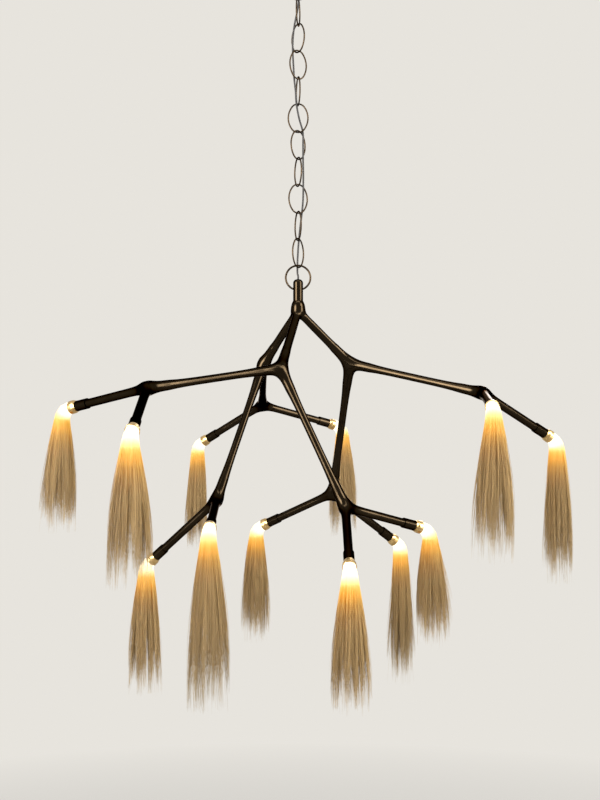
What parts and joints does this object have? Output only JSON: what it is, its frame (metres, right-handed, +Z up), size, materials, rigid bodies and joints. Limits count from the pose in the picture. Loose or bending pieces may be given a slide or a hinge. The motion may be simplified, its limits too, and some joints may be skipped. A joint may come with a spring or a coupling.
{
  "type": "chandelier",
  "caption": "Branching dark bronze chandelier on a link chain, with forked arms whose lit tips each hold a long hanging horsehair tassel.",
  "frame": {"origin": "middle of the two ceiling screw holes, on the ceiling", "axes": "+Z up to the ceiling along the chain, +X to the right along the two screws, -Y to the front, where the picture was taken from"},
  "size_m": [1.0616, 0.9975, 1.568],
  "materials": {
    "dark_bronze": "cast bronze, polished smooth and darkened almost black",
    "chain_bronze": "blackened bronze wire, rubbed brighter on its edges",
    "polished_brass": "satin brass",
    "zinc_steel": "zinc-plated steel",
    "driver_plastic": "plain moulded plastic",
    "gland_plastic": "black moulded plastic",
    "cord_fabric": "dark braided fabric over rubber",
    "wire_insulation": "silicone insulation",
    "module_metal": "turned aluminium",
    "lens_glass": "frosted glass, lit from behind",
    "horsehair": "long straight natural horsehair, lit from its root"
  },
  "bodies": {
    "canopy": {"ceiling_bracket": "zinc_steel", "threaded_nipple": "zinc_steel", "nipple_nuts": "zinc_steel", "canopy": "dark_bronze", "hanging_loop": "dark_bronze", "led_driver": "driver_plastic", "cord_gland": "gland_plastic", "supply_cord": "cord_fabric"},
    "link_01": {"chain_link_01": "chain_bronze"},
    "link_02": {"chain_link_02": "chain_bronze"},
    "link_03": {"chain_link_03": "chain_bronze"},
    "link_04": {"chain_link_04": "chain_bronze"},
    "link_05": {"chain_link_05": "chain_bronze"},
    "link_06": {"chain_link_06": "chain_bronze"},
    "link_07": {"chain_link_07": "chain_bronze"},
    "link_08": {"chain_link_08": "chain_bronze"},
    "link_09": {"chain_link_09": "chain_bronze"},
    "link_10": {"chain_link_10": "chain_bronze"},
    "ring": {"suspension_ring": "chain_bronze"},
    "fixture": {"stem": "dark_bronze", "hub": "dark_bronze", "upper_arm_a": "dark_bronze", "upper_arm_b": "dark_bronze", "upper_arm_c": "dark_bronze", "main_knuckle_a": "dark_bronze", "main_knuckle_b": "dark_bronze", "main_knuckle_c": "dark_bronze", "outer_arm_a": "dark_bronze", "outer_arm_b": "dark_bronze", "outer_arm_c": "dark_bronze", "inner_arm_a": "dark_bronze", "inner_arm_b": "dark_bronze", "inner_arm_c": "dark_bronze", "outer_branch_a": "dark_bronze", "outer_branch_b": "dark_bronze", "outer_branch_c": "dark_bronze", "inner_branch_a": "dark_bronze", "inner_branch_b": "dark_bronze", "inner_branch_c": "dark_bronze", "arm_wiring": "wire_insulation", "tip_sleeves": "dark_bronze", "tip_collars": "polished_brass", "light_modules": "module_metal", "glass_lenses": "lens_glass", "tassel_a_outer": "horsehair", "tassel_a_side": "horsehair", "tassel_a_high": "horsehair", "tassel_a_low": "horsehair", "tassel_b_outer": "horsehair", "tassel_b_side": "horsehair", "tassel_b_high": "horsehair", "tassel_b_low": "horsehair", "tassel_c_outer": "horsehair", "tassel_c_side": "horsehair", "tassel_c_high": "horsehair", "tassel_c_low": "horsehair"}
  },
  "joints": [
    {"name": "link_01_swing", "type": "hinge", "parent": "canopy", "child": "link_01", "pos_m": [0, 0, -0.082], "axis": [1, 0, 0], "range_deg": [-25, 25], "deforming": ["supply_cord"]},
    {"name": "link_02_swing", "type": "hinge", "parent": "link_01", "child": "link_02", "pos_m": [0, 0, -0.1389], "axis": [-0.1736, -0.9848, 0], "range_deg": [-25, 25], "deforming": ["supply_cord"]},
    {"name": "link_03_swing", "type": "hinge", "parent": "link_02", "child": "link_03", "pos_m": [0, 0, -0.1967], "axis": [-0.6293, 0.7771, 0], "range_deg": [-25, 25], "deforming": ["supply_cord"]},
    {"name": "link_04_swing", "type": "hinge", "parent": "link_03", "child": "link_04", "pos_m": [0, 0, -0.2545], "axis": [-0.829, -0.5592, 0], "range_deg": [-25, 25], "deforming": ["supply_cord"]},
    {"name": "link_05_swing", "type": "hinge", "parent": "link_04", "child": "link_05", "pos_m": [0, 0, -0.3123], "axis": [-0.1908, 0.9816, 0], "range_deg": [-25, 25], "deforming": ["supply_cord"]},
    {"name": "link_06_swing", "type": "hinge", "parent": "link_05", "child": "link_06", "pos_m": [0, 0, -0.3701], "axis": [-1, 0, 0], "range_deg": [-25, 25], "deforming": ["supply_cord"]},
    {"name": "link_07_swing", "type": "hinge", "parent": "link_06", "child": "link_07", "pos_m": [0, 0, -0.4279], "axis": [0.7071, 0.7071, 0], "range_deg": [-25, 25], "deforming": ["supply_cord"]},
    {"name": "link_08_swing", "type": "hinge", "parent": "link_07", "child": "link_08", "pos_m": [0, 0, -0.4857], "axis": [0.342, -0.9397, 0], "range_deg": [-25, 25], "deforming": ["supply_cord"]},
    {"name": "link_09_swing", "type": "hinge", "parent": "link_08", "child": "link_09", "pos_m": [0, 0, -0.5435], "axis": [0.9272, 0.3746, 0], "range_deg": [-25, 25], "deforming": ["supply_cord"]},
    {"name": "link_10_swing", "type": "hinge", "parent": "link_09", "child": "link_10", "pos_m": [0, 0, -0.6013], "axis": [0.309, -0.9511, 0], "range_deg": [-25, 25], "deforming": ["supply_cord"]},
    {"name": "ring_swing", "type": "hinge", "parent": "link_10", "child": "ring", "pos_m": [0, 0, -0.6591], "axis": [0.5446, 0.8387, 0], "range_deg": [-25, 25], "deforming": ["supply_cord"]},
    {"name": "fixture_swing", "type": "hinge", "parent": "ring", "child": "fixture", "pos_m": [0, 0, -0.70609], "axis": [-1, 0, 0], "range_deg": [-25, 25], "deforming": ["supply_cord"]}
  ]
}
